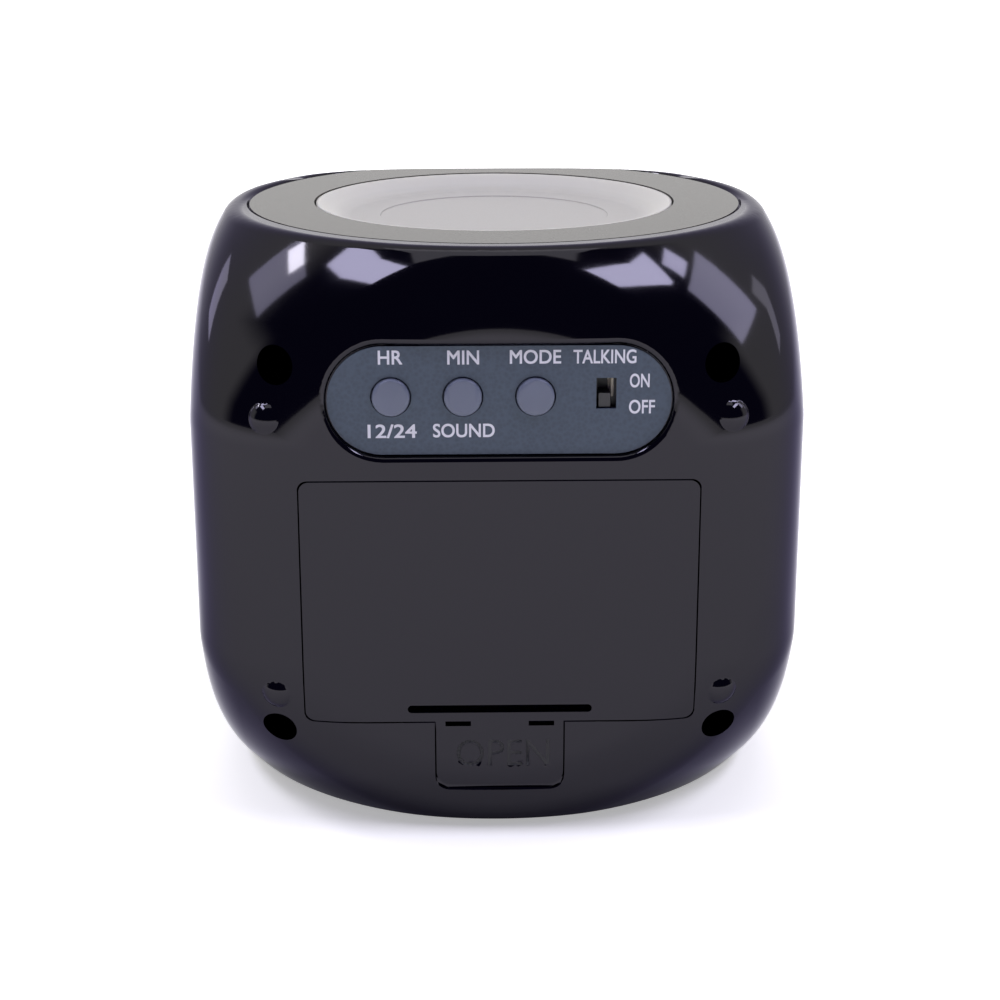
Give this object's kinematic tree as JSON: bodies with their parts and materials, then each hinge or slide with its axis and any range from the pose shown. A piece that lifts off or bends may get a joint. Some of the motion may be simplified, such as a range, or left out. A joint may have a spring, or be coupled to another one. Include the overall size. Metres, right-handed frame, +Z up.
{
  "type": "talking clock",
  "caption": "Cube-like rounded desk clock with a round press-to-talk top, leaning front display, rear setting keys, voice switch and battery door.",
  "frame": {"origin": "centre of the clock's footprint on the table, under the rubber feet", "axes": "+Z up, +Y out of the rear with the controls and battery door, -Y towards the display, +X to the left when the rear is faced"},
  "size_m": [0.084, 0.086, 0.081],
  "materials": {
    "case_black": "piano black gloss",
    "cover_grey": "smooth dark gloss",
    "button_frost": "fine frosted",
    "key_grey": "satin",
    "knob_black": "satin",
    "label_grey": "finely textured",
    "lens_smoke": "polished smoke tint",
    "display_glass": "satin",
    "light_guide_clear": "polished",
    "inner_white": "satin",
    "contact_rubber": "matt",
    "board_green": "satin",
    "part_black": "satin",
    "lamp_clear": "polished",
    "screw_steel": "zinc plated",
    "spring_steel": "bright",
    "contact_plated": "nickel plated",
    "cell_jacket": "printed jacket",
    "speaker_metal": "plated",
    "magnet_dark": "plain",
    "cone_paper": "matt",
    "foot_rubber": "matt"
  },
  "bodies": {
    "clock_body": {"rear_housing": "case_black", "front_bezel": "case_black", "top_cover": "cover_grey", "control_label": "label_grey", "display_lens": "lens_smoke", "lcd_panel": "display_glass", "light_guide": "light_guide_clear", "lcd_carrier": "inner_white", "slide_switch": "inner_white", "contact_strip": "contact_rubber", "main_board": "board_green", "top_board": "board_green", "key_board": "board_green", "talk_switch": "part_black", "hour_switch": "part_black", "minute_switch": "part_black", "mode_switch": "part_black", "speech_chip": "part_black", "capacitors": "part_black", "talk_lamps": "lamp_clear", "display_lamps": "lamp_clear", "cover_screws": "screw_steel", "top_board_screws": "screw_steel", "main_board_screws": "screw_steel", "key_board_screws": "screw_steel", "case_screws": "screw_steel", "talk_button_springs": "spring_steel", "battery_springs": "spring_steel", "battery_contacts": "contact_plated", "crystal": "contact_plated", "upper_cell": "cell_jacket", "middle_cell": "cell_jacket", "lower_cell": "cell_jacket", "speaker_frame": "speaker_metal", "speaker_magnet": "magnet_dark", "speaker_cone": "cone_paper", "rubber_feet": "foot_rubber"},
    "talk_button": {"talk_button": "button_frost", "talk_plunger": "inner_white"},
    "hour_button": {"hour_button": "key_grey", "hour_plunger": "inner_white"},
    "minute_button": {"minute_button": "key_grey", "minute_plunger": "inner_white"},
    "mode_button": {"mode_button": "key_grey", "mode_plunger": "inner_white"},
    "talk_slider": {"slide_knob": "knob_black"},
    "battery_door": {"battery_door": "case_black"}
  },
  "joints": [
    {"name": "talk_button_press", "type": "slide", "parent": "clock_body", "child": "talk_button", "axis": [0, 0, -1], "range_m": [0, 0.0008], "stiffness_N_per_m": 400, "springref_m": -0.002, "deforming": ["talk_button_springs"]},
    {"name": "hour_button_press", "type": "slide", "parent": "clock_body", "child": "hour_button", "axis": [0, -1, 0], "range_m": [0, 0.0005], "stiffness_N_per_m": 300, "springref_m": -0.001},
    {"name": "minute_button_press", "type": "slide", "parent": "clock_body", "child": "minute_button", "axis": [0, -1, 0], "range_m": [0, 0.0005], "stiffness_N_per_m": 300, "springref_m": -0.001},
    {"name": "mode_button_press", "type": "slide", "parent": "clock_body", "child": "mode_button", "axis": [0, -1, 0], "range_m": [0, 0.0005], "stiffness_N_per_m": 300, "springref_m": -0.001},
    {"name": "talk_slider_slide", "type": "slide", "parent": "clock_body", "child": "talk_slider", "axis": [0, 0, 1], "range_m": [0, 0.002]},
    {"name": "battery_door_tilt", "type": "hinge", "parent": "clock_body", "child": "battery_door", "pos_m": [0, 0.043, 0.0511], "axis": [1, 0, 0], "range_deg": [0, 60]}
  ]
}
